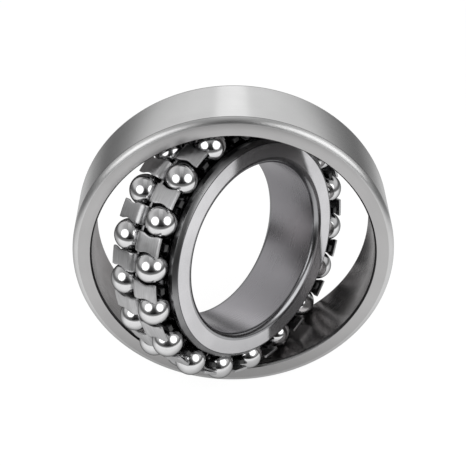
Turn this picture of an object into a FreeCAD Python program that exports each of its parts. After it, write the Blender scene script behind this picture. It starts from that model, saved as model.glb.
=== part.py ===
import FreeCAD, Part

import math
import os

import Sketcher
from FreeCAD import Placement, Rotation, Vector

# A self-aligning ball bearing: an outer ring with a spherical raceway, an inner ring with two
# grooves, one stamped cage and two rows of balls. Lengths are in millimetres, angles in degrees.
#
# The origin is the centre of the spherical raceway. The outer ring's axis lies along Y with its
# front face towards -Y, and Z is up. The inner ring, the cage and the balls share an axis of
# their own, which is swung out of the outer ring about a diameter of it.

doc = FreeCAD.newDocument("self_aligning_ball_bearing")
sheet = doc.addObject("Spreadsheet::Sheet", "Sizes")

DRIVING_SIZES = [
    ("bore_diameter", 50.0, "shaft seat in the inner ring"),
    ("inner_ring_wall", 7.15, "inner ring between the shaft seat and a shoulder"),
    ("ball_rise", 3.6979, "circle of the ball centres above the shoulders"),
    ("outer_ring_wall", 4.36, "outer ring at its middle, raceway to housing seat"),
    ("inner_ring_width", 20.0, "inner ring across its side faces"),
    ("outer_ring_width", 20.0, "outer ring across its side faces"),
    ("outer_edge_round", 1.6, "round between the housing seat and a side face"),
    ("bore_edge_round", 1.9, "round between the shaft seat and a side face"),
    ("raceway_edge_bevel", 0.65, "bevel between the raceway and a side face"),
    ("shoulder_edge_bevel", 1.0, "bevel between a shoulder and a side face"),
    ("shoulder_bevel_share", 0.6, "largest share of a shoulder that its bevel takes up"),
    ("rib_height", 0.45, "rib between the grooves above the shoulders"),
    ("ball_diameter", 8.731, "ball"),
    ("balls_per_row", 18, "balls in each of the two rows"),
    ("row_spacing", 9.7, "between the planes of the two rows"),
    ("ball_clearance", 0.1, "ball to raceway and ball to groove"),
    ("groove_conformity", 0.52, "groove radius as a share of the ball's diameter"),
    ("sheet_thickness", 0.8, "cage sheet"),
    ("web_clearance", 1.7, "cage to the inner ring's rib"),
    ("tab_clearance", 1.94, "cage over its tabs to the raceway"),
    ("tab_width", 5.4, "tab round the cage"),
    ("tab_reach", 8.45, "tab's free end from the middle plane"),
    ("tab_slope", 6.5, "tab against the bearing's axis"),
    ("tab_bend_radius", 1.2, "inside of the bend between web and tab"),
    ("prong_width", 2.0, "inner prong round the cage"),
    ("prong_thickness", 1.4, "inner prong along the radius"),
    ("prong_reach", 8.45, "prong's free end from the middle plane"),
    ("pocket_clearance", 0.15, "ball to the edge of its cage pocket"),
    ("swing_angle", 46.0, "inner ring's axis against the outer ring's axis"),
    ("swing_axis_lean", 10.6, "swing axis against the vertical"),
    ("first_ball_angle", 6.9, "first front ball from the swing axis"),
]
for row, (name, value, meaning) in enumerate(DRIVING_SIZES, start=1):
    sheet.set(f"A{row}", meaning)
    sheet.set(f"B{row}", str(value))
    sheet.setAlias(f"B{row}", name)
doc.recompute()

# Sizes that follow from others, written once as expressions.
BORE_RADIUS = "(Sizes.bore_diameter / 2)"
BALL_RADIUS = "(Sizes.ball_diameter / 2)"
ROW_OFFSET = "(Sizes.row_spacing / 2)"
INNER_HALF_WIDTH = "(Sizes.inner_ring_width / 2)"
OUTER_HALF_WIDTH = "(Sizes.outer_ring_width / 2)"
SHOULDER_RADIUS = f"({BORE_RADIUS} + Sizes.inner_ring_wall)"
RIB_RADIUS = f"({SHOULDER_RADIUS} + Sizes.rib_height)"
PITCH_RADIUS = f"({SHOULDER_RADIUS} + Sizes.ball_rise)"
BALL_REACH = f"sqrt({PITCH_RADIUS}^2 + {ROW_OFFSET}^2)"
RACEWAY_RADIUS = f"({BALL_REACH} + {BALL_RADIUS} + Sizes.ball_clearance)"
OUTER_RADIUS = f"({RACEWAY_RADIUS} + Sizes.outer_ring_wall)"
GROOVE_RADIUS = "(Sizes.groove_conformity * Sizes.ball_diameter)"
GROOVE_REACH = f"({BALL_REACH} - {BALL_RADIUS} - Sizes.ball_clearance + {GROOVE_RADIUS})"
GROOVE_CENTRE_RADIUS = f"({GROOVE_REACH} * {PITCH_RADIUS} / {BALL_REACH})"
GROOVE_CENTRE_OFFSET = f"({GROOVE_REACH} * {ROW_OFFSET} / {BALL_REACH})"
GROOVE_DEPTH_CHORD = f"sqrt({GROOVE_RADIUS}^2 - ({GROOVE_CENTRE_RADIUS} - {SHOULDER_RADIUS})^2)"
SHOULDER_WIDTH = f"({INNER_HALF_WIDTH} - {GROOVE_CENTRE_OFFSET} - {GROOVE_DEPTH_CHORD})"
SHOULDER_BEVEL = (
    f"min(Sizes.shoulder_edge_bevel; Sizes.shoulder_bevel_share * {SHOULDER_WIDTH})")
HALF_PITCH_ANGLE = "180 / Sizes.balls_per_row"
POCKET_RADIUS = f"({BALL_RADIUS} + Sizes.pocket_clearance)"
TAB_OUTER_RADIUS = f"({RACEWAY_RADIUS} - Sizes.tab_clearance)"
BEND_CENTRE_RADIUS = f"({TAB_OUTER_RADIUS} - Sizes.tab_bend_radius - Sizes.sheet_thickness)"
TAB_ROOT_RADIUS = f"({BEND_CENTRE_RADIUS} - Sizes.sheet_thickness)"
TAB_ANGLE = f"(Sizes.tab_width / {TAB_OUTER_RADIUS} * 180 / pi)"
PRONG_INNER_RADIUS = f"({RIB_RADIUS} + Sizes.web_clearance)"
PRONG_OUTER_RADIUS = f"({PRONG_INNER_RADIUS} + Sizes.prong_thickness)"
PRONG_ANGLE = f"(Sizes.prong_width / {PRONG_OUTER_RADIUS} * 180 / pi)"

ORIGIN_POINT = (-1, 1)
CIRCLE_CENTRE = 3
LINE_START = 1
LINE_END = 2
Z_AXIS = Vector(0, 0, 1)


def value(expression):
    """Value of an expression in the sheet's sizes."""
    return float(sheet.evalExpression(expression))


def origin_feature(body, role):
    """Plane or axis of a body's own origin, by its role."""
    return next(item for item in body.Origin.OriginFeatures if item.Role == role)


def new_sketch(body, name, plane, turn=None):
    """Sketch on one of the body's origin planes, turned within that plane's frame."""
    sketch = body.newObject("Sketcher::SketchObject", name)
    sketch.AttachmentSupport = (origin_feature(body, plane), [""])
    sketch.MapMode = "FlatFace"
    if turn is not None:
        sketch.AttachmentOffset = Placement(Vector(), turn)
    return sketch


def constrain(sketch, name, expression, kind, *where):
    """Dimension of a sketch that follows an expression in the sheet's sizes."""
    amount = value(expression)
    if kind == "Angle":
        amount = math.radians(amount)
    index = sketch.addConstraint(Sketcher.Constraint(kind, *where, amount))
    sketch.renameConstraint(index, name)
    sketch.setExpression("Constraints." + name, expression)


def add_circle(sketch, name, radius, centre_x=None, centre_y=None, below=False):
    """Circle with its radius and its centre's place driven by the sheet."""
    x = value(centre_x) if centre_x else 0.0
    y = value(centre_y) if centre_y else 0.0
    y = -y if below else y
    circle = sketch.addGeometry(Part.Circle(Vector(x, y, 0), Z_AXIS, value(radius)), False)
    constrain(sketch, name + "_radius", radius, "Radius", circle)
    centre = (circle, CIRCLE_CENTRE)
    if centre_x:
        constrain(sketch, name + "_x", centre_x, "DistanceX", *ORIGIN_POINT, *centre)
    else:
        sketch.addConstraint(Sketcher.Constraint("PointOnObject", *centre, -2))
    if not centre_y:
        sketch.addConstraint(Sketcher.Constraint("PointOnObject", *centre, -1))
    elif below:
        constrain(sketch, name + "_y", centre_y, "DistanceY", *centre, *ORIGIN_POINT)
    else:
        constrain(sketch, name + "_y", centre_y, "DistanceY", *ORIGIN_POINT, *centre)


def add_half_section(sketch, steps):
    """Closed section of a ring, symmetric about the middle plane.

    Each step is a radius and a height, as expressions, from the bore's side outwards. The
    section runs up through the steps and back down through their mirror images.
    """
    upper = [(radius, height, False) for radius, height in steps]
    lower = [(radius, height, True) for radius, height in reversed(steps)]
    corners = upper + lower
    points = [Vector(value(r), -value(h) if below else value(h), 0) for r, h, below in corners]
    count = len(points)
    lines = [Part.LineSegment(points[i], points[(i + 1) % count]) for i in range(count)]
    sketch.addGeometry(lines, False)
    for i in range(count):
        sketch.addConstraint(
            Sketcher.Constraint("Coincident", i, LINE_END, (i + 1) % count, LINE_START))
    for i, (radius, height, below) in enumerate(corners):
        corner = (i, LINE_START)
        constrain(sketch, f"radius_{i}", radius, "DistanceX", *ORIGIN_POINT, *corner)
        if below:
            constrain(sketch, f"height_{i}", height, "DistanceY", *corner, *ORIGIN_POINT)
        else:
            constrain(sketch, f"height_{i}", height, "DistanceY", *ORIGIN_POINT, *corner)


def revolve(body, kind, name, sketch, angle=None):
    """Full revolution or groove about the body's axis, or one of the given angle."""
    feature = body.newObject("PartDesign::" + kind, name)
    feature.Profile = sketch
    feature.ReferenceAxis = (sketch, ["V_Axis"])
    feature.Angle = 360.0
    if angle:
        feature.Midplane = True
        feature.setExpression("Angle", angle)
    sketch.Visibility = False
    return feature


def repeat_round(body, name, features):
    """Copies of features at every ball's place in a row."""
    pattern = body.newObject("PartDesign::PolarPattern", name)
    pattern.Originals = features
    pattern.Axis = (origin_feature(body, "Z_Axis"), [""])
    pattern.Angle = 360.0
    pattern.setExpression("Occurrences", "Sizes.balls_per_row")
    body.Tip = pattern
    return pattern


def edges_at(feature, radius, height=None):
    """Names of a feature's round edges with the given radius and height to either side."""
    names = []
    for number, edge in enumerate(feature.Shape.Edges, start=1):
        if not isinstance(edge.Curve, Part.Circle):
            continue
        fits = abs(edge.Curve.Radius - radius) < 1e-4
        if height is not None:
            fits = fits and abs(abs(edge.Curve.Center.z) - height) < 1e-4
        if fits:
            names.append(f"Edge{number}")
    return names


def dress_edges(body, kind, name, base, edges, size_property, expression):
    """Fillet or chamfer of some edges of a body's last feature."""
    feature = body.newObject("PartDesign::" + kind, name)
    feature.Base = (base, edges)
    feature.setExpression(size_property, expression)
    doc.recompute()
    return feature


def new_body(label):
    body = doc.addObject("PartDesign::Body", label)
    body.Label = label
    return body


def aligned_rotation():
    """Turns a ring's own axis, Z, to the outer ring's, with X along the swing axis."""
    lean = math.radians(value("Sizes.swing_axis_lean"))
    swing_axis = Vector(-math.sin(lean), 0, math.cos(lean))
    ring_axis = Vector(0, -1, 0)
    return Rotation(swing_axis, ring_axis.cross(swing_axis), ring_axis, "ZXY"), swing_axis


def inner_frame():
    """Placement of the inner ring: aligned, then swung about the swing axis."""
    aligned, swing_axis = aligned_rotation()
    swing = Rotation(swing_axis, value("Sizes.swing_angle"))
    return Placement(Vector(), swing * aligned)


def cage_frame():
    """Placement of the cage and the balls: the inner frame, turned to the first ball."""
    turn = Rotation(Z_AXIS, value("Sizes.first_ball_angle"))
    return inner_frame() * Placement(Vector(), turn)


def build_outer_ring():
    """Plain cylinder outside, one spherical raceway for both rows inside."""
    body = new_body("outer_ring")
    section = new_sketch(body, "outer_ring_section", "XZ_Plane")
    add_half_section(section, [
        (PITCH_RADIUS, OUTER_HALF_WIDTH),
        (OUTER_RADIUS, OUTER_HALF_WIDTH),
    ])
    revolve(body, "Revolution", "outer_ring_blank", section)
    raceway = body.newObject("PartDesign::SubtractiveSphere", "raceway")
    raceway.AttachmentSupport = (origin_feature(body, "XY_Plane"), [""])
    raceway.MapMode = "FlatFace"
    raceway.setExpression("Radius", RACEWAY_RADIUS)
    doc.recompute()

    seat_edges = edges_at(raceway, value(OUTER_RADIUS))
    rounded = dress_edges(body, "Fillet", "housing_seat_edges", raceway, seat_edges,
                          "Radius", "Sizes.outer_edge_round")
    mouth_radius = value(f"sqrt({RACEWAY_RADIUS}^2 - {OUTER_HALF_WIDTH}^2)")
    dress_edges(body, "Chamfer", "raceway_edges", rounded, edges_at(rounded, mouth_radius),
                "Size", "Sizes.raceway_edge_bevel")
    body.Placement = Placement(Vector(), aligned_rotation()[0])
    return body


def build_inner_ring():
    """Cylindrical bore, two ground grooves with a rib between them, low outer shoulders."""
    body = new_body("inner_ring")
    section = new_sketch(body, "inner_ring_section", "XZ_Plane")
    add_half_section(section, [
        (RIB_RADIUS, ROW_OFFSET),
        (SHOULDER_RADIUS, ROW_OFFSET),
        (SHOULDER_RADIUS, INNER_HALF_WIDTH),
        (BORE_RADIUS, INNER_HALF_WIDTH),
    ])
    revolve(body, "Revolution", "inner_ring_blank", section)
    circles = new_sketch(body, "groove_circles", "XZ_Plane")
    add_circle(circles, "front", GROOVE_RADIUS, GROOVE_CENTRE_RADIUS, GROOVE_CENTRE_OFFSET)
    add_circle(circles, "rear", GROOVE_RADIUS, GROOVE_CENTRE_RADIUS, GROOVE_CENTRE_OFFSET,
               below=True)
    grooves = revolve(body, "Groove", "grooves", circles)
    doc.recompute()

    rounded = dress_edges(body, "Fillet", "bore_edges", grooves,
                          edges_at(grooves, value(BORE_RADIUS)),
                          "Radius", "Sizes.bore_edge_round")
    shoulder_edges = edges_at(rounded, value(SHOULDER_RADIUS), value(INNER_HALF_WIDTH))
    dress_edges(body, "Chamfer", "shoulder_edges", rounded, shoulder_edges,
                "Size", SHOULDER_BEVEL)
    body.Placement = inner_frame()
    return body


def add_tab_section(sketch):
    """Section of a tab: out along the web, round the bend, then in towards the free end."""
    slope = math.radians(value("Sizes.tab_slope"))
    along = Vector(-math.sin(slope), math.cos(slope), 0)
    across = Vector(math.cos(slope), math.sin(slope), 0)
    sheet_thickness = value("Sizes.sheet_thickness")
    inner_bend = value("Sizes.tab_bend_radius")
    outer_bend = inner_bend + sheet_thickness
    centre = Vector(value(BEND_CENTRE_RADIUS), outer_bend - sheet_thickness / 2, 0)
    root = value(TAB_ROOT_RADIUS)

    outer_start = centre - Vector(0, outer_bend, 0)
    outer_turned = centre + across * outer_bend
    run = (value("Sizes.tab_reach") - outer_turned.y) / along.y
    tip = outer_turned + along * run
    inner_tip = tip - across * sheet_thickness
    inner_turned = centre + across * inner_bend
    inner_start = centre - Vector(0, inner_bend, 0)
    root_below = Vector(root, outer_start.y, 0)
    root_above = Vector(root, inner_start.y, 0)

    down = -math.pi / 2
    outer_arc = Part.ArcOfCircle(Part.Circle(centre, Z_AXIS, outer_bend), down, slope)
    inner_arc = Part.ArcOfCircle(Part.Circle(centre, Z_AXIS, inner_bend), down, slope)
    sketch.addGeometry([
        Part.LineSegment(root_below, outer_start),
        outer_arc,
        Part.LineSegment(outer_turned, tip),
        Part.LineSegment(tip, inner_tip),
        Part.LineSegment(inner_tip, inner_turned),
        inner_arc,
        Part.LineSegment(inner_start, root_above),
        Part.LineSegment(root_above, root_below),
    ], False)
    rules = [
        ("Tangent", 0, LINE_END, 1, LINE_START),
        ("Tangent", 1, LINE_END, 2, LINE_START),
        ("Coincident", 2, LINE_END, 3, LINE_START),
        ("Coincident", 3, LINE_END, 4, LINE_START),
        ("Tangent", 4, LINE_END, 5, LINE_END),
        ("Tangent", 5, LINE_START, 6, LINE_START),
        ("Coincident", 6, LINE_END, 7, LINE_START),
        ("Coincident", 7, LINE_END, 0, LINE_START),
        ("Coincident", 1, CIRCLE_CENTRE, 5, CIRCLE_CENTRE),
        ("Horizontal", 0),
        ("Vertical", 7),
        ("Perpendicular", 2, 3),
    ]
    for rule in rules:
        sketch.addConstraint(Sketcher.Constraint(*rule))
    half_sheet = "Sizes.sheet_thickness / 2"
    constrain(sketch, "web_side", half_sheet, "DistanceY", 0, LINE_START, *ORIGIN_POINT)
    constrain(sketch, "web_top", half_sheet, "DistanceY", *ORIGIN_POINT, 6, LINE_END)
    constrain(sketch, "root", TAB_ROOT_RADIUS, "DistanceX", *ORIGIN_POINT, 0, LINE_START)
    constrain(sketch, "inner_bend", "Sizes.tab_bend_radius", "Radius", 5)
    constrain(sketch, "bend_centre", BEND_CENTRE_RADIUS, "DistanceX",
              *ORIGIN_POINT, 1, CIRCLE_CENTRE)
    constrain(sketch, "slope", "90 + Sizes.tab_slope", "Angle", 2)
    constrain(sketch, "reach", "Sizes.tab_reach", "DistanceY", *ORIGIN_POINT, 2, LINE_END)


def add_prong_section(sketch):
    """Section of a prong: a plain bar from the web's inner edge towards the side."""
    corners = [
        (PRONG_INNER_RADIUS, None),
        (PRONG_OUTER_RADIUS, None),
        (PRONG_OUTER_RADIUS, "Sizes.prong_reach"),
        (PRONG_INNER_RADIUS, "Sizes.prong_reach"),
    ]
    points = [Vector(value(r), value(reach) if reach else 0.0, 0) for r, reach in corners]
    count = len(points)
    sketch.addGeometry(
        [Part.LineSegment(points[i], points[(i + 1) % count]) for i in range(count)], False)
    for i in range(count):
        sketch.addConstraint(
            Sketcher.Constraint("Coincident", i, LINE_END, (i + 1) % count, LINE_START))
    for rule in (("Horizontal", 0), ("Horizontal", 2), ("Vertical", 1), ("Vertical", 3),
                 ("PointOnObject", 0, LINE_START, -1)):
        sketch.addConstraint(Sketcher.Constraint(*rule))
    constrain(sketch, "inside", PRONG_INNER_RADIUS, "DistanceX", *ORIGIN_POINT, 0, LINE_START)
    constrain(sketch, "outside", PRONG_OUTER_RADIUS, "DistanceX", *ORIGIN_POINT, 0, LINE_END)
    constrain(sketch, "reach", "Sizes.prong_reach", "DistanceY", *ORIGIN_POINT, 1, LINE_END)


def build_cage():
    """One stamped piece: a web between the rows, with tabs bent to the front and the rear.

    The tabs lie between the balls outside the pitch circle and the prongs inside it. Both
    stand to the front between front balls and to the rear between rear balls.
    """
    body = new_body("cage")
    disc = new_sketch(body, "web_disc", "XY_Plane")
    add_circle(disc, "outside", BEND_CENTRE_RADIUS)
    add_circle(disc, "inside", PRONG_INNER_RADIUS)
    web = body.newObject("PartDesign::Pad", "web")
    web.Profile = disc
    web.SideType = "Symmetric"
    web.setExpression("Length", "Sizes.sheet_thickness")

    to_half_pitch = Rotation(Vector(0, 1, 0), value(HALF_PITCH_ANGLE))
    to_rear = Rotation(Vector(1, 0, 0), 180)
    for side, turn in (("front", to_half_pitch), ("rear", to_rear)):
        fingers = []
        for finger, add_section, angle in (("tab", add_tab_section, TAB_ANGLE),
                                           ("prong", add_prong_section, PRONG_ANGLE)):
            section = new_sketch(body, f"{finger}_section_{side}", "XZ_Plane", turn)
            if side == "front":
                section.setExpression("AttachmentOffset.Rotation.Angle", HALF_PITCH_ANGLE)
            add_section(section)
            fingers.append(revolve(body, "Revolution", f"{finger}_{side}", section, angle))
        doc.recompute()
        repeat_round(body, f"fingers_{side}", fingers)

    for side in ("front", "rear"):
        at_rear = side == "rear"
        mouth = new_sketch(body, f"pocket_mouth_{side}", "YZ_Plane",
                           to_half_pitch if at_rear else None)
        if at_rear:
            mouth.setExpression("AttachmentOffset.Rotation.Angle", HALF_PITCH_ANGLE)
        add_circle(mouth, "mouth", POCKET_RADIUS, centre_y=ROW_OFFSET, below=at_rear)
        doc.recompute()
        volume_before = body.Shape.Volume
        pocket = body.newObject("PartDesign::Pocket", f"pocket_{side}")
        pocket.Profile = mouth
        pocket.Reversed = True
        pocket.setExpression("Length", OUTER_RADIUS)
        doc.recompute()
        if pocket.Shape.Volume >= volume_before:
            raise RuntimeError(f"{pocket.Name} cuts nothing")
        repeat_round(body, f"pockets_{side}", [pocket])
    body.Placement = cage_frame()
    return body


def build_balls():
    """Two rows of equal balls, the rear row half a pitch behind the front row."""
    balls = []
    frame = cage_frame()
    count = int(value("Sizes.balls_per_row"))
    pitch_radius = value(PITCH_RADIUS)
    row_offset = value(ROW_OFFSET)
    for side, offset, phase in (("front", row_offset, 0.0), ("rear", -row_offset, 0.5)):
        for number in range(count):
            angle = 2 * math.pi * (number + phase) / count
            centre = Vector(pitch_radius * math.cos(angle), pitch_radius * math.sin(angle), offset)
            ball = doc.addObject("Part::Sphere", f"ball_{side}_{number + 1:02d}")
            ball.Label = ball.Name
            ball.setExpression("Radius", BALL_RADIUS)
            ball.Placement = frame * Placement(centre, Rotation(Z_AXIS, math.degrees(angle)))
            balls.append(ball)
    return balls


def check_document(pieces):
    """Stops the script if any object failed or any piece has no sound solid."""
    for item in doc.Objects:
        if "Invalid" in item.State or "Error" in item.State:
            raise RuntimeError(f"{item.Name} failed: {item.State}")
    for piece in pieces:
        shape = piece.Shape
        if shape.isNull() or not shape.isValid() or len(shape.Solids) != 1:
            raise RuntimeError(f"{piece.Label} is not one sound solid")


pieces = [build_outer_ring(), build_inner_ring(), build_cage()] + build_balls()
doc.recompute()
check_document(pieces)

os.makedirs("parts", exist_ok=True)
for piece in pieces:
    piece.Shape.exportStep(os.path.join("parts", piece.Label + ".step"))
    print(f"{piece.Label}: {piece.Shape.Volume:.1f} mm3")
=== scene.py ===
"""Looks of a self-aligning ball bearing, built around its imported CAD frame.

Every piece is in metres and in the frame's own coordinates. The outer ring's axis is Y and the
origin is the centre of its spherical raceway. The inner ring, the cage and the balls share an
axis of their own, which is swung out of the outer ring.

The sizes of rings, cage and balls are written in millimetres, those of the studio in metres.
Fields named steps count the straight runs that stand for a curve.
"""

import logging
import math
from dataclasses import dataclass, field
from enum import Enum
from typing import Iterable

import bpy
from bpy.types import ID, Material, Mesh, Node, NodeSocket, NodeTree, Object
from mathutils import Matrix, Vector


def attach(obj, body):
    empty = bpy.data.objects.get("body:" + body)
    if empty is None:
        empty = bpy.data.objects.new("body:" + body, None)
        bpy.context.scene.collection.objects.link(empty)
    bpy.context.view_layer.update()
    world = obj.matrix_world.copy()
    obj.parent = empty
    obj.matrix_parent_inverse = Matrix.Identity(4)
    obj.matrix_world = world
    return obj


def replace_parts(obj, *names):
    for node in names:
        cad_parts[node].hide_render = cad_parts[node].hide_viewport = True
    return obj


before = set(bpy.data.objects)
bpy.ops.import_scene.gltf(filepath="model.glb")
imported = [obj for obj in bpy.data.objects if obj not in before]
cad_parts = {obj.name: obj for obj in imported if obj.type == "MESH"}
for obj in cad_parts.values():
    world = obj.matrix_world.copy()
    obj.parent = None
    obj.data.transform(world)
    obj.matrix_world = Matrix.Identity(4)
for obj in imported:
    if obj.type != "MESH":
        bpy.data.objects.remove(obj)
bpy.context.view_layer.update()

LOG = logging.getLogger("bearing")
MM = 0.001
SMOOTH_LIMIT = math.radians(28)
QUARTER_TURN = 0.25
NEARLY_ZERO = 0.001
ROUND_CORNER = (0.0, math.pi / 4, math.pi / 2)

Vec2 = tuple[float, float]
Vec3 = tuple[float, float, float]
Colour = tuple[float, float, float]
Stops = tuple[Vec2, ...]
Value = float | NodeSocket


class Side(Enum):
    """The two sides of the bearing: the row of balls at each, and the fingers between them."""

    FRONT = 1
    REAR = -1


class SheetArea(Enum):
    """The areas of the cage, in the order of its material slots."""

    TAB = 0
    # The INSIDE area is finished near black as painted shade.
    INSIDE = 1
    # The SHEARED area is finished near black as painted shade.
    SHEARED = 2


class Surface(Enum):
    """The ground, polished or turned surfaces of a ring, in the order of its material slots."""

    SEAT = 0
    ROUND = 1
    FACE = 2
    BEVEL = 3
    RACEWAY = 4


@dataclass(frozen=True)
class OwnAxes:
    """Where a ring's own axes point in the frame.

    Attributes:
        swing: the X axis, which is the diameter that the inner ring swings about.
        along: the Z axis, which is the axis of revolution.
    """

    swing: Vector
    along: Vector

    def matrix(self, turn_degrees: float = 0.0) -> Matrix:
        """Matrix from the ring's own coordinates to the frame's.

        Args:
            turn_degrees: a turn about the ring's own axis before it is placed.

        Returns:
            A rotation as a 4 x 4 matrix.
        """
        side = self.along.cross(self.swing)
        columns = Matrix((self.swing, side, self.along)).transposed()
        return columns.to_4x4() @ Matrix.Rotation(math.radians(turn_degrees), 4, "Z")


@dataclass(frozen=True)
class Layout:
    """How the two groups of pieces lie, in degrees."""

    swing_angle: float = 46.0
    swing_axis_lean: float = 10.6
    first_ball_angle: float = 6.9

    def swing_axis(self) -> Vector:
        """Direction of the diameter that the inner ring swings about."""
        lean = math.radians(self.swing_axis_lean)
        return Vector((-math.sin(lean), 0.0, math.cos(lean)))

    def outer(self) -> OwnAxes:
        """Axes of the outer ring."""
        return OwnAxes(self.swing_axis(), Vector((0.0, -1.0, 0.0)))

    def inner(self) -> OwnAxes:
        """Axes of the inner ring, the cage and the balls."""
        swing = Matrix.Rotation(math.radians(self.swing_angle), 3, self.swing_axis())
        return OwnAxes(self.swing_axis(), swing @ Vector((0.0, -1.0, 0.0)))


@dataclass
class Section:
    """Closed outline of a ring in its radius and height, in millimetres.

    Attributes:
        points: the outline's points.
        surfaces: the surface that leads from each point to the next.
    """

    points: list[Vec2] = field(default_factory=list)
    surfaces: list[Surface] = field(default_factory=list)

    def to(self, radius: float, height: float, surface: Surface) -> None:
        """Adds a point, from which the outline goes on along a surface."""
        self.points.append((radius, height))
        self.surfaces.append(surface)

    def arc(self, centre: Vec2, radius: float, start: float, end: float, steps: int,
            surface: Surface) -> None:
        """Adds an arc.

        Args:
            centre: the arc's centre.
            radius: the arc's radius.
            start: the first angle in degrees, from the direction of growing radius.
            end: the last angle in degrees.
            steps: how many straight runs stand for the arc.
            surface: the surface that the arc belongs to.
        """
        for step in range(steps + 1):
            angle = math.radians(start + (end - start) * step / steps)
            self.to(centre[0] + radius * math.cos(angle), centre[1] + radius * math.sin(angle),
                    surface)

    def turned(self, name: str, steps: int) -> Mesh:
        """Mesh of the section turned about the ring's own axis, in metres.

        Args:
            name: the mesh's name.
            steps: how many runs go round.

        Returns:
            A closed mesh whose faces carry their surface as their material slot.
        """
        count = len(self.points)
        places = []
        for step in range(steps):
            angle = 2 * math.pi * step / steps
            c, s = math.cos(angle), math.sin(angle)
            places += [(r * c * MM, r * s * MM, h * MM) for r, h in self.points]
        faces = []
        slots = []
        for step in range(steps):
            here, there = step * count, (step + 1) % steps * count
            for i in range(count):
                j = (i + 1) % count
                faces.append((here + i, there + i, there + j, here + j))
                slots.append(self.surfaces[i].value)
        mesh = bpy.data.meshes.new(name)
        mesh.from_pydata(places, [], faces)
        mesh.polygons.foreach_set("material_index", slots)
        mesh.validate()
        return mesh


def grey(level: float) -> tuple[float, float, float, float]:
    """Opaque grey of one brightness."""
    return (level, level, level, 1.0)


def linked(name: str, data: ID) -> Object:
    """New object in the scene's collection."""
    made = bpy.data.objects.new(name, data)
    bpy.context.scene.collection.objects.link(made)
    return made


class NodeSheet:
    """A node tree that is written one node at a time."""

    def __init__(self, tree: NodeTree) -> None:
        """Empties a tree and starts to write it."""
        self.tree = tree
        tree.nodes.clear()

    def add(self, kind: str, inputs: dict | None = None, **settings: object) -> Node:
        """Adds a node.

        Args:
            kind: the node's type.
            inputs: values or output sockets for its inputs, by name or number.
            settings: properties of the node itself.

        Returns:
            The new node.
        """
        node = self.tree.nodes.new(kind)
        for key, setting in settings.items():
            setattr(node, key, setting)
        for key, given in (inputs or {}).items():
            socket = node.inputs[key]
            if isinstance(given, NodeSocket):
                self.tree.links.new(given, socket)
            else:
                socket.default_value = given
        return node

    def out(self, kind: str, inputs: dict | None = None, **settings: object) -> NodeSocket:
        """Adds a node like add and gives its first output."""
        return self.add(kind, inputs, **settings).outputs[0]

    def math(self, operation: str, *values: Value) -> NodeSocket:
        """Result of a Math node on up to three values."""
        return self.out("ShaderNodeMath", dict(enumerate(values)), operation=operation)

    def vector(self, operation: str, *values: object, **named: Value) -> NodeSocket:
        """Result of a Vector Math node, which is a number where it measures."""
        node = self.add("ShaderNodeVectorMath", {**dict(enumerate(values)), **named},
                        operation=operation)
        return node.outputs["Value" if operation == "LENGTH" else "Vector"]

    def weighed(self, first: Value, first_weight: Value, second: Value,
                second_weight: Value) -> NodeSocket:
        """Sum of two values, each times its weight."""
        return self.math("ADD", self.math("MULTIPLY", first, first_weight),
                         self.math("MULTIPLY", second, second_weight))

    def share(self, way: Value) -> NodeSocket:
        """Value from -1 to 1 as a share from 0 to 1."""
        return self.math("ADD", self.math("MULTIPLY", way, 0.5), 0.5)

    def between(self, source: Value, start: float, end: float, low: Value, high: Value,
                **settings: object) -> NodeSocket:
        """Value that runs from low to high while the source runs from start to end."""
        return self.out("ShaderNodeMapRange", {
            0: source, 1: start, 2: end, 3: low, 4: high}, **settings)

    def noise(self, place: NodeSocket, scale: float, detail: float,
              roughness: float = 0.5) -> NodeSocket:
        """Grey value of a cloudy pattern."""
        return self.out("ShaderNodeTexNoise", {
            "Vector": place, "Scale": scale, "Detail": detail, "Roughness": roughness})

    def shaded(self, colour: Colour, shade: NodeSocket, **settings: object) -> NodeSocket:
        """Colour times a shade."""
        return self.add("ShaderNodeMix", {"Factor": 1.0, 6: (*colour, 1.0), 7: shade},
                        data_type="RGBA", blend_type="MULTIPLY", **settings).outputs[2]

    def bump(self, relief: NodeSocket, depth: float) -> NodeSocket:
        """Normal of a surface whose relief has a depth in millimetres."""
        return self.out("ShaderNodeBump", {"Distance": depth * MM, "Height": relief})

    def own_place(self, place: NodeSocket, axes: OwnAxes) -> NodeSocket:
        """Place in the coordinates of a ring's own axes."""
        turn = axes.matrix().to_3x3().transposed().to_euler("XYZ")
        return self.out("ShaderNodeMapping", {"Vector": place, "Rotation": turn})

    def steel(self, inputs: dict) -> None:
        """Ends the sheet with a metal, whose inputs may still change how metallic it is."""
        metal = self.out("ShaderNodeBsdfPrincipled", {"Metallic": 1.0, **inputs})
        self.add("ShaderNodeOutputMaterial", {0: metal})

    def ramp(self, source: NodeSocket, stops: Stops, easing: str = "LINEAR") -> NodeSocket:
        """Grey value that runs through stops of place and brightness.

        Args:
            source: the socket that says where along the ramp to look.
            stops: places from 0 to 1 and the brightness at each.
            easing: how the ramp goes from stop to stop.

        Returns:
            The ramp's colour socket.
        """
        node = self.add("ShaderNodeValToRGB", {0: source})
        node.color_ramp.interpolation = easing
        elements = node.color_ramp.elements
        for place, _ in stops[2:]:
            elements.new(place)
        for element, (place, brightness) in zip(elements, stops):
            element.position = place
            element.color = grey(brightness)
        return node.outputs[0]


def new_material(name: str) -> tuple[Material, NodeSheet]:
    """An empty material and the sheet to write its nodes on."""
    material = bpy.data.materials.new(name)
    material.use_nodes = True
    return material, NodeSheet(material.node_tree)


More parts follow.
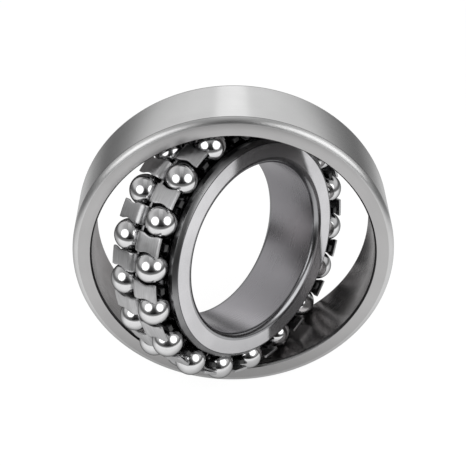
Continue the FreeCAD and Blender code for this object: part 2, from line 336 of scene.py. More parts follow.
@dataclass(frozen=True)
class TurnedSteel:
    """Hardened bearing steel whose grinding or honing marks run round an axis.

    Attributes:
        name: the material's name.
        colour: the metal's colour.
        roughness: how rough the metal is.
        stretch: how strongly the marks draw a highlight out across them.
        roughness_spread: how far the roughness wanders from place to place.
        mark_depth: the depth of the marks in millimetres.
        mark_spacing: from mark to mark, in millimetres.
        stain: how much darker thin films of oil and handling make it in places.
        scatter: the share of light that the fine scratches scatter every way.
        marks_round: how often the marks change in a metre round the axis.
        cloud_scale: how often roughness and stains change in a metre.
    """

    name: str
    colour: Colour
    roughness: float
    stretch: float
    roughness_spread: float = 0.04
    mark_depth: float = 0.001
    mark_spacing: float = 0.4
    stain: float = 0.06
    scatter: float = 0.0
    marks_round: float = 45.0
    cloud_scale: float = 70.0

    def material(self, axes: OwnAxes) -> Material:
        """Builds the finish for a ring.

        Args:
            axes: the ring's own axes, which the marks run round.

        Returns:
            The material.
        """
        material, sheet = new_material(self.name)
        place = sheet.add("ShaderNodeTexCoord").outputs["Object"]
        own = sheet.own_place(place, axes)
        x, y, z = sheet.add("ShaderNodeSeparateXYZ", {0: own}).outputs
        radius = sheet.math("SQRT", sheet.weighed(x, x, y, y))
        lay = sheet.out("ShaderNodeCombineXYZ", {
            0: sheet.math("MULTIPLY", x, self.marks_round),
            1: sheet.math("MULTIPLY", y, self.marks_round),
            2: sheet.math("MULTIPLY", sheet.math("ADD", z, radius),
                          1.0 / (self.mark_spacing * MM)),
        })
        marks = sheet.noise(lay, scale=1.0, detail=3.0, roughness=0.6)
        cloud = sheet.noise(own, self.cloud_scale, detail=4.0, roughness=0.55)
        roughness = sheet.between(
            sheet.weighed(marks, 0.5, cloud, 0.5), start=0.3, end=0.7,
            low=self.roughness - self.roughness_spread,
            high=self.roughness + self.roughness_spread)
        stained = sheet.between(cloud, start=0.35, end=0.7, low=1.0, high=1.0 - self.stain)
        way_round = sheet.vector("CROSS_PRODUCT", tuple(axes.along), place)
        tangent = sheet.out("ShaderNodeVectorTransform", {0: way_round}, vector_type="VECTOR",
                            convert_from="OBJECT", convert_to="WORLD")
        sheet.steel({
            "Base Color": sheet.shaded(self.colour, stained),
            "Metallic": 1.0 - self.scatter, "Roughness": roughness,
            "Anisotropic": self.stretch, "Anisotropic Rotation": QUARTER_TURN,
            "Tangent": tangent, "Normal": sheet.bump(marks, self.mark_depth)})
        return material


@dataclass(frozen=True)
class BallSteel:
    """Lapped and polished ball steel with the faintest haze.

    Attributes:
        rim_tint: how bright the metal stays where it is seen edge on.
        haze_scale: how often the haze changes in a metre.
        hazed: the share of brightness left where the haze is thick.
    """

    name: str = "mirror_ball_steel"
    colour: Colour = (0.72, 0.72, 0.725)
    roughness: float = 0.13
    rim_tint: float = 0.2
    haze_scale: float = 420.0
    hazed: float = 0.93

    def material(self) -> Material:
        """Builds the finish."""
        material, sheet = new_material(self.name)
        place = sheet.add("ShaderNodeTexCoord").outputs["Object"]
        haze = sheet.noise(place, self.haze_scale, detail=3.0)
        roughness = sheet.between(haze, start=0.3, end=0.75, low=self.roughness * 0.6,
                                  high=self.roughness * 1.5)
        film = sheet.between(haze, start=0.35, end=0.75, low=1.0, high=self.hazed)
        sheet.steel({"Base Color": sheet.shaded(self.colour, film), "Roughness": roughness,
                     "Specular Tint": grey(self.rim_tint)})
        return material


@dataclass(frozen=True)
class SheetSteel:
    """Cold-rolled sheet, stamped and tumbled to a dull grey, with fine rolling lines.

    Attributes:
        line_spacing: from rolling line to rolling line, in millimetres.
        line_depth: the depth of lines and dents in millimetres.
        lines_round: how often the lines change in a metre round the axis.
        dent_scale: how often the dents of the tumbling change in a metre.
        cloud_scale: how often the shade changes in a metre.
    """

    name: str = "tumbled_sheet_steel"
    colour: Colour = (0.5, 0.5, 0.505)
    roughness: float = 0.34
    line_spacing: float = 0.28
    line_depth: float = 0.01
    lines_round: float = 220.0
    dent_scale: float = 900.0
    cloud_scale: float = 160.0

    def material(self, axes: OwnAxes) -> Material:
        """Builds the finish for the cage.

        Args:
            axes: the cage's own axes, which the lines run round.

        Returns:
            The material.
        """
        material, sheet = new_material(self.name)
        own = sheet.own_place(sheet.add("ShaderNodeTexCoord").outputs["Object"], axes)
        fine = sheet.out("ShaderNodeMapping", {
            "Vector": own,
            "Scale": (self.lines_round, self.lines_round, 1.0 / (self.line_spacing * MM)),
        })
        lines = sheet.noise(fine, scale=1.0, detail=2.0)
        dents = sheet.noise(own, self.dent_scale, detail=3.0, roughness=0.6)
        cloud = sheet.noise(own, self.cloud_scale, detail=3.0)
        shade = sheet.between(sheet.weighed(lines, 0.6, cloud, 0.4), start=0.3, end=0.7,
                              low=0.78, high=1.15)
        roughness = sheet.between(dents, start=0.3, end=0.7, low=self.roughness - 0.06,
                                  high=self.roughness + 0.08)
        relief = sheet.weighed(lines, 1.0, dents, 0.6)
        sheet.steel({"Base Color": sheet.shaded(self.colour, shade, clamp_result=True),
                     "Roughness": roughness, "Normal": sheet.bump(relief, self.line_depth)})
        return material


def finished_piece(name: str, mesh: Mesh, place: Matrix, materials: Iterable[Material]) -> Object:
    """Object at the frame's origin whose mesh is in its place.

    Args:
        name: the piece's name.
        mesh: its mesh in its own coordinates.
        place: matrix from those to the frame's.
        materials: its material slots.

    Returns:
        The piece, smooth but for its sharp edges.
    """
    mesh.transform(place)
    mesh.name = name
    slots = [0] * len(mesh.polygons)
    mesh.polygons.foreach_get("material_index", slots)
    mesh.materials.clear()
    for material in materials:
        mesh.materials.append(material)
    mesh.polygons.foreach_set("material_index", slots)
    mesh.shade_smooth()
    mesh.set_sharp_from_angle(angle=SMOOTH_LIMIT)
    return linked(name, mesh)


def plain_mesh(draft: Object) -> Mesh:
    """Mesh of a draft with its modifiers applied. The draft is removed.

    Args:
        draft: an object that is linked to the scene.

    Returns:
        The finished mesh.
    """
    draft.update_tag()
    evaluated = draft.evaluated_get(bpy.context.evaluated_depsgraph_get())
    mesh = bpy.data.meshes.new_from_object(evaluated)
    old = draft.data
    bpy.data.objects.remove(draft)
    bpy.data.meshes.remove(old)
    return mesh


def eased(mesh: Mesh, width: float, segments: int = 2) -> Mesh:
    """Mesh whose sharp edges are broken, as tumbling or a stone leaves them.

    Args:
        mesh: a closed mesh in metres.
        width: the width of the broken edge in millimetres.
        segments: how many runs round it.

    Returns:
        The new mesh.
    """
    draft = linked("draft", mesh)
    bevel = draft.modifiers.new("edges", "BEVEL")
    bevel.width = width * MM
    bevel.segments = segments
    bevel.limit_method = "ANGLE"
    bevel.angle_limit = SMOOTH_LIMIT
    return plain_mesh(draft)


class SizedTree:
    """A Geometry Nodes tree with named sizes, which stands in for one draft's mesh."""

    def __init__(self, name: str, sizes: dict[str, tuple[str, object]]) -> None:
        """Starts a tree.

        Args:
            name: the tree's name.
            sizes: socket type and value of each named input.
        """
        self.tree = bpy.data.node_groups.new(name, "GeometryNodeTree")
        self.sheet = NodeSheet(self.tree)
        self.values = {}
        sockets = self.tree.interface
        sockets.new_socket("Geometry", in_out="INPUT", socket_type="NodeSocketGeometry")
        sockets.new_socket("Geometry", in_out="OUTPUT", socket_type="NodeSocketGeometry")
        for label, (kind, value) in sizes.items():
            socket = sockets.new_socket(label, in_out="INPUT", socket_type="NodeSocket" + kind)
            self.values[socket.identifier] = value
        self.inputs = self.sheet.add("NodeGroupInput").outputs

    def close(self, geometry: NodeSocket) -> None:
        """Ends the tree with Realize Instances and Set Material.

        Args:
            geometry: the socket that holds what was made.
        """
        real = self.sheet.out("GeometryNodeRealizeInstances", {0: geometry})
        dressed = self.sheet.out("GeometryNodeSetMaterial", {
            "Geometry": real, "Material": self.inputs["Material"]})
        self.sheet.add("NodeGroupOutput", {0: dressed})

    def applied_to(self, mesh: Mesh, **changes: object) -> Mesh:
        """Mesh that the tree makes of another.

        Args:
            mesh: what goes into the tree.
            changes: values of inputs that differ from the tree's own, by their names.

        Returns:
            The finished mesh.
        """
        draft = linked("draft", mesh)
        modifier = draft.modifiers.new(self.tree.name, "NODES")
        modifier.node_group = self.tree
        labels = {item.name: item.identifier for item in self.tree.interface.items_tree
                  if item.in_out == "INPUT"}
        for identifier, value in self.values.items():
            modifier[identifier] = value
        for label, value in changes.items():
            modifier[labels[label.replace("_", " ").title()]] = value
        return plain_mesh(draft)


@dataclass
class OuterRing:
    """Outer ring: a ground seat and faces outside, one polished spherical raceway inside."""

    axes: OwnAxes
    outer_diameter: float = 90.0
    width: float = 20.0
    raceway_diameter: float = 81.28
    edge_round: float = 1.6
    raceway_bevel: float = 0.65
    edge_break: float = 0.07
    turn_steps: int = 288
    round_steps: int = 12
    raceway_steps: int = 40

    def section(self) -> Section:
        """Outline of the ring, starting at the raceway's front edge."""
        seat = self.outer_diameter / 2
        half = self.width / 2
        sphere = self.raceway_diameter / 2
        mouth = math.sqrt(sphere ** 2 - half ** 2)
        edge_angle = math.degrees(math.asin((half - self.raceway_bevel) / sphere))
        section = Section()
        centre = seat - self.edge_round
        inset = half - self.edge_round
        section.to(mouth + self.raceway_bevel, half, Surface.FACE)
        section.arc((centre, inset), self.edge_round, 90, 0, self.round_steps, Surface.ROUND)
        # Painted shade: the round's last run by the seat takes the bevel's near black finish, as
        # a dark edge line.
        section.surfaces[-2:] = [Surface.BEVEL, Surface.SEAT]
        section.arc((centre, -inset), self.edge_round, 0, -90, self.round_steps, Surface.ROUND)
        section.surfaces[-1] = Surface.FACE
        section.to(mouth + self.raceway_bevel, -half, Surface.BEVEL)
        section.arc((0.0, 0.0), sphere, -edge_angle, edge_angle, self.raceway_steps,
                    Surface.RACEWAY)
        # Painted shade: the raceway's last run at the front takes the bevel's near black finish
        # too, as a dark edge line.
        section.surfaces[-2:] = [Surface.BEVEL] * 2
        return section

    def build(self) -> Object:
        """Builds the ring, rides it on its body and lets it stand for its CAD node."""
        turned = self.section().turned("outer_ring_section", self.turn_steps)
        mesh = eased(turned, self.edge_break)
        piece = finished_piece("outer_ring_turned", mesh, self.axes.matrix(), self.finishes())
        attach(piece, "outer_ring")
        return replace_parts(piece, "outer_ring")

    def finishes(self) -> list[Material]:
        """Finishes of the ring's surfaces, in the order of Surface."""
        finishes = (
            TurnedSteel("outer_seat_steel", (0.82, 0.82, 0.82), roughness=0.2, stretch=0.75,
                        roughness_spread=0.03, mark_depth=0.0012, mark_spacing=0.6),
            TurnedSteel("outer_round_steel", (0.62, 0.62, 0.62), roughness=0.36, stretch=0.7),
            TurnedSteel("outer_face_steel", (0.47, 0.465, 0.465), roughness=0.3, stretch=0.1,
                        roughness_spread=0.03, mark_depth=0.002),
            # Painted shade: the bevels and the edge runs given their finish are near black, which
            # draws dark lines at the edges.
            TurnedSteel("outer_bevel_painted_shade_steel", (0.12, 0.12, 0.12), roughness=0.22, stretch=0.3,
                        mark_depth=0.002, mark_spacing=0.3),
            TurnedSteel("raceway_steel", (0.4, 0.385, 0.385), roughness=0.24, stretch=0.5,
                        roughness_spread=0.07, mark_spacing=1.2, stain=0.35))
        return [finish.material(self.axes) for finish in finishes]


@dataclass
class InnerRing:
    """Inner ring: a ground bore and faces, two polished grooves with a rib between them.

    The edge line is a painted dark line that rims the front face: a thin strip of the face in the
    grooves' near black finish.
    """

    axes: OwnAxes
    bore_diameter: float = 50.0
    width: float = 20.0
    shoulder_diameter: float = 64.3
    rib_diameter: float = 65.2
    bore_round: float = 1.9
    shoulder_bevel: float = 1.0
    painted_shade_line: float = 0.3
    groove_radius: float = 4.54012
    groove_centre: Vec2 = (35.9218, 4.86)
    edge_break: float = 0.06
    turn_steps: int = 256
    round_steps: int = 10
    groove_steps: int = 18

    def section(self) -> Section:
        """Outline of the ring, starting at the shoulder's front bevel."""
        bore = self.bore_diameter / 2
        half = self.width / 2
        shoulder = self.shoulder_diameter / 2
        rib = self.rib_diameter / 2
        section = Section()
        # Painted shade: the first run is a strip of the front face in the grooves' near black
        # finish, a dark line at its edge.
        section.to(shoulder - self.shoulder_bevel - self.painted_shade_line, half, Surface.RACEWAY)
        section.to(shoulder - self.shoulder_bevel, half, Surface.BEVEL)
        section.to(shoulder, half - self.shoulder_bevel, Surface.BEVEL)
        for sign in (1, -1):
            centre = (self.groove_centre[0], sign * self.groove_centre[1])
            at_shoulder = 180 - sign * math.degrees(
                math.acos((centre[0] - shoulder) / self.groove_radius))
            at_rib = 180 + sign * math.degrees(math.acos((centre[0] - rib) / self.groove_radius))
            first, last = (at_shoulder, at_rib) if sign > 0 else (at_rib, at_shoulder)
            section.arc(centre, self.groove_radius, first, last, self.groove_steps,
                        Surface.RACEWAY)
            section.surfaces[-1] = Surface.BEVEL
        section.to(shoulder, -(half - self.shoulder_bevel), Surface.BEVEL)
        section.to(shoulder - self.shoulder_bevel, -half, Surface.FACE)
        centre_radius = bore + self.bore_round
        inset = half - self.bore_round
        section.arc((centre_radius, -inset), self.bore_round, 270, 180, self.round_steps,
                    Surface.ROUND)
        section.surfaces[-1] = Surface.SEAT
        section.arc((centre_radius, inset), self.bore_round, 180, 90, self.round_steps,
                    Surface.ROUND)
        section.surfaces[-1] = Surface.FACE
        return section

    def build(self) -> Object:
        """Builds the ring, rides it on its body and lets it stand for its CAD node."""
        turned = self.section().turned("inner_ring_section", self.turn_steps)
        mesh = eased(turned, self.edge_break)
        piece = finished_piece("inner_ring_turned", mesh, self.axes.matrix(), self.finishes())
        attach(piece, "inner_ring")
        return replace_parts(piece, "inner_ring")

    def finishes(self) -> list[Material]:
        """Finishes of the ring's surfaces, in the order of Surface."""
        finishes = (
            TurnedSteel("bore_steel", (0.4, 0.39, 0.41), roughness=0.26, stretch=0.5,
                        roughness_spread=0.05, mark_depth=0.002, mark_spacing=0.5),
            TurnedSteel("bore_round_steel", (0.34, 0.34, 0.35), roughness=0.2, stretch=0.3),
            TurnedSteel("inner_face_steel", (0.66, 0.655, 0.67), roughness=0.11, stretch=0.2,
                        mark_depth=0.0015, stain=0.15, scatter=0.1),
            TurnedSteel("shoulder_steel", (0.3, 0.3, 0.305), roughness=0.3, stretch=0.4,
                        roughness_spread=0.1, mark_depth=0.004, mark_spacing=0.5, stain=0.6),
            # Painted shade: the grooves are near black, for the shade deep between the balls and
            # the ring.
            TurnedSteel("groove_painted_shade_steel", (0.13, 0.13, 0.135), roughness=0.16, stretch=0.4,
                        roughness_spread=0.03, mark_spacing=0.5))
        return [finish.material(self.axes) for finish in finishes]


@dataclass
class Cage:
    """One stamped cage: a web between the rows, with tabs and prongs bent to both sides."""

    axes: OwnAxes
    first_ball_angle: float
    count: int = 18
    sheet: float = 0.8
    web_inner_radius: float = 34.3
    tab_outer_radius: float = 38.7
    tab_width: float = 5.4
    tab_reach: float = 8.45
    tab_slope: float = 6.5
    bend_radius: float = 1.2
    prong_width: float = 2.0
    prong_thickness: float = 1.4
    prong_reach: float = 8.45
    pocket_radius: float = 4.5155
    row_offset: float = 4.85
    edge_round: float = 0.13
    inside_margin: float = 0.1
    end_margin: float = 0.01
    bend_steps: int = 12
    tab_steps: int = 12
    prong_steps: int = 5
    web_steps: int = 288
    corner_steps: int = 3

    @property
    def bend_centre(self) -> float:
        """Radius at which the bends between web and tabs are centred."""
        return self.tab_outer_radius - self.bend_radius - self.sheet

    def tab_path(self) -> list[tuple[Vec2, Vec2]]:
        """Middle of the sheet from the web round the bend to the tab's free end.

        Returns:
            Places and outward directions in radius and height.
        """
        middle = self.bend_radius + self.sheet / 2
        slope = math.radians(self.tab_slope)
        path = [((self.bend_centre - self.sheet, 0.0), (0.0, -1.0))]
        for step in range(self.bend_steps + 1):
            angle = -math.pi / 2 + (math.pi / 2 + slope) * step / self.bend_steps
            out = (math.cos(angle), math.sin(angle))
            path.append(((self.bend_centre + middle * out[0], middle * (1 + out[1])), out))
        (r, h), out = path[-1]
        end = self.tab_reach - self.sheet / 2 * out[1]
        for step in range(1, self.tab_steps + 1):
            height = h + (end - h) * step / self.tab_steps
            path.append(((r - (height - h) * math.tan(slope), height), out))
        return path

    def prong_path(self) -> list[tuple[Vec2, Vec2]]:
        """Middle of a prong from the web to its free end, as tab_path gives it."""
        middle = self.web_inner_radius + self.prong_thickness / 2
        return [((middle, self.prong_reach * step / self.prong_steps), (1.0, 0.0))
                for step in range(self.prong_steps + 1)]

    def half_angle(self, radius: float, height: float, width: float, at: float) -> float:
        """Half of a finger's width as an angle, where the pockets beside it allow it.

        Args:
            radius: the place's radius.
            height: its height above the web.
            width: the finger's full width.
            at: the radius at which that width is measured.

        Returns:
            The angle in radians.
        """
        chord = self.pocket_radius ** 2 - (height - self.row_offset) ** 2
        pocket = math.asin(math.sqrt(chord) / radius) if chord > 0 else 0.0
        return min(width / 2 / at, math.pi / self.count - pocket)

    def finger(self, path: list[tuple[Vec2, Vec2]], thickness: float, width: float, at: float,
               centre: float, side: Side) -> tuple[list[Vector], list[tuple[int, ...]]]:
        """A strip bent along a path, with its edges rounded.

        Args:
            path: places and outward directions along the strip's middle.
            thickness: the strip's thickness.
            width: its full width round the cage.
            at: the radius at which that width is measured.
            centre: the angle of its middle line in radians.
            side: the side of the bearing that it points to.

        Returns:
            Places in metres, and faces that point outwards.
        """
        half = thickness / 2
        soft = self.edge_round
        corner = [(soft * (1 - math.cos(angle)), soft * (1 - math.sin(angle)))
                  for angle in ROUND_CORNER]
        across = [quarter / 4 for quarter in range(-3, 4)]

        def loop(place: Vec2, out: Vec2, inset: float) -> list[Vector]:
            """Rounded rectangle round the strip at one place along it."""
            rim: list[Vec3] = []
            for across_sign, out_sign in ((1, 1), (-1, 1), (-1, -1), (1, -1)):
                pairs = corner if across_sign * out_sign > 0 else corner[::-1]
                rim += [(across_sign, side_in, out_sign * (half - out_in - inset))
                        for side_in, out_in in pairs]
                if across_sign * out_sign > 0:
                    rim += [(share * -across_sign, 0.0, out_sign * (half - inset))
                            for share in across]
            ring = []
            for share, side_in, level in rim:
                radius = place[0] + out[0] * level
                height = place[1] + out[1] * level
                edge = self.half_angle(radius, height, width, at) - (side_in + inset) / radius
                angle = centre + share * edge
                ring.append(Vector((radius * math.cos(angle), radius * math.sin(angle),
                                    side.value * height)) * MM)
            return ring

        loops = [loop(place, out, 0.0) for place, out in path[:-1]]
        (end, out), (before, _) = path[-1], path[-2]
        along = Vector((end[0] - before[0], end[1] - before[1])).normalized()
        for angle in ROUND_CORNER:
            back = soft * (1 - math.sin(angle))
            place = (end[0] - along.x * back, end[1] - along.y * back)
            loops.append(loop(place, out, soft * (1 - math.cos(angle))))
        size = len(loops[0])
        places = [point for ring in loops for point in ring]
        faces: list[tuple[int, ...]] = []
        for row in range(len(loops) - 1):
            here, there = row * size, (row + 1) * size
            for i in range(size):
                j = (i + 1) % size
                faces.append((here + i, here + j, there + j, there + i))
        faces.append(tuple(reversed(range(size))))
        faces.append(tuple(range((len(loops) - 1) * size, len(loops) * size)))
        if side is Side.FRONT:
            faces = [tuple(reversed(face)) for face in faces]
        return places, faces

    def fingers(self) -> Mesh:
        """The tabs and prongs of one ball's share of the cage."""
        places: list[Vector] = []
        faces: list[tuple[int, ...]] = []
        prong_at = self.web_inner_radius + self.prong_thickness
        for side, centre in ((Side.FRONT, math.pi / self.count), (Side.REAR, 0.0)):
            for path, thickness, width, at in (
                    (self.tab_path(), self.sheet, self.tab_width, self.tab_outer_radius),
                    (self.prong_path(), self.prong_thickness, self.prong_width, prong_at)):
                more, sides = self.finger(path, thickness, width, at, centre, side)
                first = len(places)
                places += more
                faces += [tuple(first + i for i in face) for face in sides]
        mesh = bpy.data.meshes.new("fingers")
        mesh.from_pydata([tuple(p) for p in places], [], faces)
        mesh.validate()
        return mesh

    def tree(self, material: Material) -> SizedTree:
        """Tree that repeats the fingers round the axis and sweeps the web between them."""
        made = SizedTree("cage_round_axis", {
            "Finger Count": ("Int", self.count),
            "Web Inner Radius": ("Float", self.web_inner_radius * MM),
            "Web Outer Radius": ("Float", self.bend_centre * MM),
            "Sheet Thickness": ("Float", self.sheet * MM),
            "Edge Round": ("Float", self.edge_round * MM),
            "Material": ("Material", material),
        })
        sheet, given = made.sheet, made.inputs
        count = given["Finger Count"]
        points = sheet.out("GeometryNodePoints", {"Count": count})
        turn = sheet.math("MULTIPLY", sheet.out("GeometryNodeInputIndex"),
                          sheet.math("DIVIDE", 2 * math.pi, count))
        facing = sheet.out("FunctionNodeEulerToRotation", {
            0: sheet.out("ShaderNodeCombineXYZ", {2: turn})})
        fingers = sheet.out("GeometryNodeInstanceOnPoints", {
            "Points": points, "Instance": given["Geometry"], "Rotation": facing})
        inner, outer = given["Web Inner Radius"], given["Web Outer Radius"]
        middle = sheet.math("MULTIPLY", sheet.math("ADD", inner, outer), 0.5)
        rail = sheet.out("GeometryNodeCurvePrimitiveCircle", {
            "Resolution": self.web_steps, "Radius": middle})
        band = sheet.out("GeometryNodeCurvePrimitiveQuadrilateral", {
            "Width": sheet.math("SUBTRACT", outer, inner),
            "Height": given["Sheet Thickness"]})
        soft = sheet.out("GeometryNodeFilletCurve", {
            "Curve": band, "Count": self.corner_steps, "Radius": given["Edge Round"],
        }, mode="POLY")
        web = sheet.out("GeometryNodeCurveToMesh", {"Curve": rail, "Profile Curve": soft})
        joined = sheet.add("GeometryNodeJoinGeometry")
        made.tree.links.new(fingers, joined.inputs[0])
        made.tree.links.new(web, joined.inputs[0])
        made.close(joined.outputs[0])
        return made

    def mark_areas(self, mesh: Mesh) -> None:
        """Gives the faces of the cage's mesh, in its own coordinates, their material slots."""
        inside = (self.web_inner_radius + self.prong_thickness + self.inside_margin) * MM
        end = (self.prong_reach - self.end_margin) * MM
        for face in mesh.polygons:
            place = face.center
            area = SheetArea.TAB
            if place.xy.length < inside:
                area = SheetArea.SHEARED if abs(place.z) > end else SheetArea.INSIDE
            face.material_index = area.value

    def finishes(self) -> list[Material]:
        """Finishes of the cage's areas, in the order of SheetArea."""
        finishes = (
            SheetSteel(),
            # Painted shade: the web and the insides of the prongs are near black, for the shade
            # deep between the balls and the inner ring.
            SheetSteel("inside_painted_shade_sheet_steel", (0.05, 0.05, 0.052), roughness=0.36),
            # Painted shade: the prongs' sheared ends are near black, for the shade they lie in.
            SheetSteel("sheared_painted_shade_sheet_steel", (0.08, 0.08, 0.08), roughness=0.4))
        return [finish.material(self.axes) for finish in finishes]

    def build(self) -> Object:
        """Builds the cage, rides it on its body and lets it stand for its CAD node."""
        finishes = self.finishes()
        mesh = self.tree(finishes[0]).applied_to(self.fingers())
        self.mark_areas(mesh)
        place = self.axes.matrix(self.first_ball_angle)
        piece = finished_piece("cage_stamped", mesh, place, finishes)
        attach(piece, "cage")
        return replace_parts(piece, "cage")


@dataclass
class BallRow:
    """One row of balls, each a body of its own that rolls on the inner ring's groove."""

    axes: OwnAxes
    first_ball_angle: float
    side: Side
    material: Material
    count: int = 18
    ball_diameter: float = 8.731
    pitch_radius: float = 35.8479
    row_offset: float = 4.85
    cuts: int = 25

    def tree(self) -> SizedTree:
        """Tree that makes one ball of the row, a cube blown up so that its faces stay even."""
        made = SizedTree(f"ball_in_{self.side.name.lower()}_row", {
            "Ball Radius": ("Float", self.ball_diameter / 2 * MM),
            "Pitch Radius": ("Float", self.pitch_radius * MM),
            "Row Height": ("Float", self.side.value * self.row_offset * MM),
            "Row Angle": ("Float", 0.0),
            "Cuts": ("Int", self.cuts),
            "Material": ("Material", self.material),
        })
        sheet, given = made.sheet, made.inputs
        cube = sheet.out("GeometryNodeMeshCube", {
            "Size": (2.0, 2.0, 2.0), "Vertices X": given["Cuts"], "Vertices Y": given["Cuts"],
            "Vertices Z": given["Cuts"]})
        corner = sheet.out("GeometryNodeInputPosition")
        even = sheet.vector("TANGENT", sheet.vector("SCALE", corner, Scale=math.pi / 4))
        unit = sheet.vector("NORMALIZE", even)
        ball = sheet.out("GeometryNodeSetPosition", {
            "Geometry": cube,
            "Position": sheet.vector("SCALE", unit, Scale=given["Ball Radius"])})
        angle, reach = given["Row Angle"], given["Pitch Radius"]
        centre = sheet.out("ShaderNodeCombineXYZ", {
            0: sheet.math("MULTIPLY", reach, sheet.math("COSINE", angle)),
            1: sheet.math("MULTIPLY", reach, sheet.math("SINE", angle)),
            2: given["Row Height"]})
        placed = sheet.out("GeometryNodeTransform", {"Geometry": ball, "Translation": centre})
        made.close(placed)
        return made

    def build(self) -> list[Object]:
        """Builds the balls, one piece for each body, in place of their CAD nodes."""
        tree = self.tree()
        place = self.axes.matrix(self.first_ball_angle)
        phase = 0.0 if self.side is Side.FRONT else 0.5
        balls = []
        for number in range(self.count):
            node = f"ball_{self.side.name.lower()}_{number + 1:02d}"
            angle = 2 * math.pi * (number + phase) / self.count
            mesh = tree.applied_to(bpy.data.meshes.new(node), row_angle=angle)
            ball = finished_piece(node + "_polished", mesh, place, [self.material])
            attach(ball, node)
            balls.append(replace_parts(ball, node))
        return balls


@dataclass
class Studio:
    """Pale table, two round soft boxes, the room that the steel mirrors, and the camera.

    The camera sees table and room white. The steel sees them graded.

    Attributes:
        table_spread: how the table's fading is drawn out to the sides and the back.
        lit_stops: brightness of the table's glow before the bearing, from near to far; the dim
            first stops are painted shade right under the bearing.
        shaded_stops: the same behind the bearing, where the shade from start to end begins.
        shade_slant: how much further back that is for each metre to the right.
        wall_stops: brightness of the room from the floor to the ceiling.
        strip_stops: brightness of a strip overhead, from its middle to the sides.
        strip_rise: how that strip comes in above the horizon.
        back_stops: share of the room's light, from behind the camera to behind the bearing.
        back_pull: how much the sides count as behind the bearing.
        paper_seen: the paper's own grey for camera and steel, to which its glow is added.
    """

    table_height: float = -0.0451
    table_size: float = 3.0
    table_spread: Vec3 = (0.85, 1.03, 1.0)
    fade_reach: float = 0.4
    lit_stops: Stops = ((0.0, 0.4), (0.12, 0.45), (0.2, 0.82), (0.41, 0.92), (0.6, 0.12),
                        (1.0, 0.04))
    shaded_stops: Stops = ((0.0, 0.2), (0.2, 0.45), (0.35, 0.45), (0.6, 0.18), (1.0, 0.03))
    shade_start: float = -0.022
    shade_end: float = 0.045
    shade_slant: float = 0.25
    wall_stops: Stops = ((0.0, 0.12), (0.35, 0.3), (0.44, 0.16), (0.5, 0.17), (0.55, 0.25),
                         (0.6, 0.5), (0.64, 0.68), (0.79, 0.72), (0.9, 0.5), (1.0, 0.4))
    strip_stops: Stops = ((0.0, 0.34), (0.17, 0.3), (0.25, 0.05), (1.0, 0.0))
    strip_rise: Stops = ((0.0, 0.0), (0.3, 1.0), (1.0, 1.0))
    back_stops: Stops = ((0.0, 0.02), (0.12, 0.06), (0.25, 0.4), (0.45, 0.7), (0.62, 0.9),
                         (1.0, 1.0))
    back_pull: float = 0.7
    even_light: float = 0.55
    table_glow: float = 0.9
    paper: float = 0.8
    paper_seen: float = 0.2
    left_box_place: Vec3 = (-0.108, -0.105, 0.088)
    right_box_place: Vec3 = (0.118, -0.112, 0.098)
    left_box_diameter: float = 0.145
    right_box_diameter: float = 0.185
    box_brightness: float = 1.5
    sensor_width: float = 36.0
    focal_length: float = 92.06
    picture_shift: float = 0.00107
    clip_range: Vec2 = (0.01, 20.0)
    camera_place: Vec3 = (-0.002101, -0.280186, 0.195158)
    camera_forward: Vec3 = (0.00645, 0.82363, -0.56709)
    camera_up: Vec3 = (0.00444, 0.56707, 0.82366)

    def build(self) -> None:
        """Builds the whole studio."""
        self.table()
        self.soft_box("left_box", self.left_box_place, self.left_box_diameter)
        self.soft_box("right_box", self.right_box_place, self.right_box_diameter)
        self.room()
        self.camera()

    def table(self) -> None:
        """White table that fades to grey away from the bearing, where only metal sees it."""
        half = self.table_size / 2
        mesh = bpy.data.meshes.new("table")
        mesh.from_pydata([(x * half, y * half, self.table_height)
                          for x, y in ((-1, -1), (1, -1), (1, 1), (-1, 1))], [], [(0, 1, 2, 3)])
        material, sheet = new_material("white_table")
        place = sheet.add("ShaderNodeTexCoord").outputs["Object"]
        x, y, _ = sheet.add("ShaderNodeSeparateXYZ", {0: place}).outputs
        away = sheet.vector("LENGTH", sheet.vector("MULTIPLY", place, self.table_spread))
        share = sheet.math("DIVIDE", away, self.fade_reach)
        lit = sheet.ramp(share, self.lit_stops, "EASE")
        shaded = sheet.ramp(share, self.shaded_stops, "EASE")
        back = sheet.math("SUBTRACT", y, sheet.math("MULTIPLY", x, self.shade_slant))
        front = sheet.between(back, self.shade_start, self.shade_end, low=1.0, high=0.0,
                              interpolation_type="SMOOTHSTEP")
        near = sheet.between(front, 0.0, 1.0, low=shaded, high=lit)
        path = sheet.add("ShaderNodeLightPath").outputs
        to_camera, to_metal = path["Is Camera Ray"], path["Is Glossy Ray"]
        glow = sheet.out("ShaderNodeEmission", {
            "Color": grey(1.0),
            "Strength": sheet.weighed(to_camera, self.table_glow, to_metal, near)})
        papers = [sheet.out("ShaderNodeBsdfDiffuse", {"Color": grey(level)})
                  for level in (self.paper, self.paper_seen)]
        dimmed = sheet.out("ShaderNodeMixShader", {
            0: sheet.math("MAXIMUM", to_camera, to_metal), 1: papers[0], 2: papers[1],
        })
        both = sheet.out("ShaderNodeAddShader", {0: dimmed, 1: glow})
        sheet.add("ShaderNodeOutputMaterial", {0: both})
        mesh.materials.append(material)
        linked("table", mesh)

    def soft_box(self, name: str, place: Vec3, diameter: float) -> None:
        """Round soft box that faces the bearing.

        Args:
            name: the lamp's name.
            place: where its middle is.
            diameter: its diameter.
        """
        lamp = bpy.data.lights.new(name, "AREA")
        lamp.shape = "DISK"
        lamp.size = diameter
        lamp.energy = self.box_brightness * math.pi * math.pi * (diameter / 2) ** 2
        holder = linked(name, lamp)
        holder.location = place
        holder.rotation_mode = "QUATERNION"
        holder.rotation_quaternion = Vector(place).normalized().to_track_quat("Z", "Y")
        holder.visible_camera = False

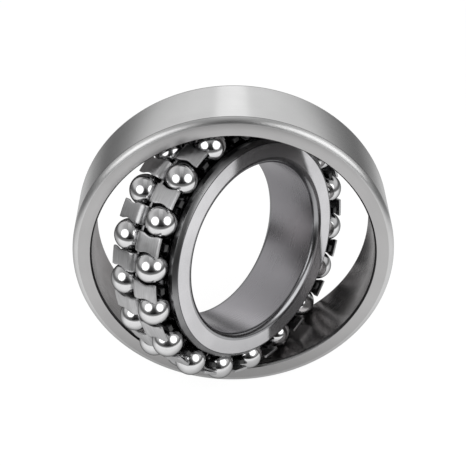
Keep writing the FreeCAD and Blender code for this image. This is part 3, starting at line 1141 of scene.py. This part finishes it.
    def room(self) -> None:
        """White behind the bearing for the camera, a graded room for the light and the metal."""
        world = bpy.data.worlds.new("room")
        bpy.context.scene.world = world
        world.use_nodes = True
        sheet = NodeSheet(world.node_tree)
        way = sheet.add("ShaderNodeTexCoord").outputs["Generated"]
        x, y, z = sheet.add("ShaderNodeSeparateXYZ", {0: way}).outputs
        sideways = sheet.math("ABSOLUTE", x)
        wall = sheet.ramp(sheet.share(z), self.wall_stops)
        flat = sheet.math("DIVIDE", sideways,
                          sheet.math("ADD", sheet.math("ABSOLUTE", z), NEARLY_ZERO))
        strip = sheet.math("MULTIPLY", sheet.ramp(flat, self.strip_stops, "EASE"),
                           sheet.ramp(z, self.strip_rise))
        turned = sheet.weighed(y, 1.0, sideways, self.back_pull)
        behind = sheet.ramp(sheet.share(turned), self.back_stops, "EASE")
        seen = sheet.math("MULTIPLY", behind, sheet.math("ADD", wall, strip))
        path = sheet.add("ShaderNodeLightPath").outputs
        graded, white, even = [
            sheet.out("ShaderNodeBackground", {
                "Color": grey(1.0), "Strength": strength})
            for strength in (seen, 1.0, self.even_light)]
        lit = sheet.out("ShaderNodeMixShader", {0: path["Is Glossy Ray"], 1: even, 2: graded})
        all_of_it = sheet.out("ShaderNodeMixShader", {0: path["Is Camera Ray"], 1: lit, 2: white})
        sheet.add("ShaderNodeOutputWorld", {0: all_of_it})

    def camera(self) -> None:
        """Camera at the photograph's viewing angle."""
        data = bpy.data.cameras.new("camera")
        data.sensor_width = self.sensor_width
        data.lens = self.focal_length
        data.shift_x = -self.picture_shift
        data.shift_y = self.picture_shift
        data.clip_start, data.clip_end = self.clip_range
        camera = linked("camera", data)
        back = -Vector(self.camera_forward).normalized()
        right = Vector(self.camera_up).cross(back).normalized()
        columns = Matrix((right, back.cross(right), back)).transposed()
        camera.matrix_world = Matrix.Translation(self.camera_place) @ columns.to_4x4()
        bpy.context.scene.camera = camera
        bpy.context.scene.view_settings.view_transform = "Standard"


def main() -> None:
    """Builds the bearing's pieces in order, then the studio round them."""
    logging.basicConfig(level=logging.INFO)
    layout = Layout()
    inner = layout.inner()
    pieces = [OuterRing(layout.outer()).build(), InnerRing(inner).build(),
              Cage(inner, layout.first_ball_angle).build()]
    ball_material = BallSteel().material()
    for side in Side:
        pieces += BallRow(inner, layout.first_ball_angle, side, ball_material).build()
    for piece in pieces:
        LOG.info("%s: %d faces", piece.name, len(piece.data.polygons))
    Studio().build()


if __name__ == "__main__":
    main()
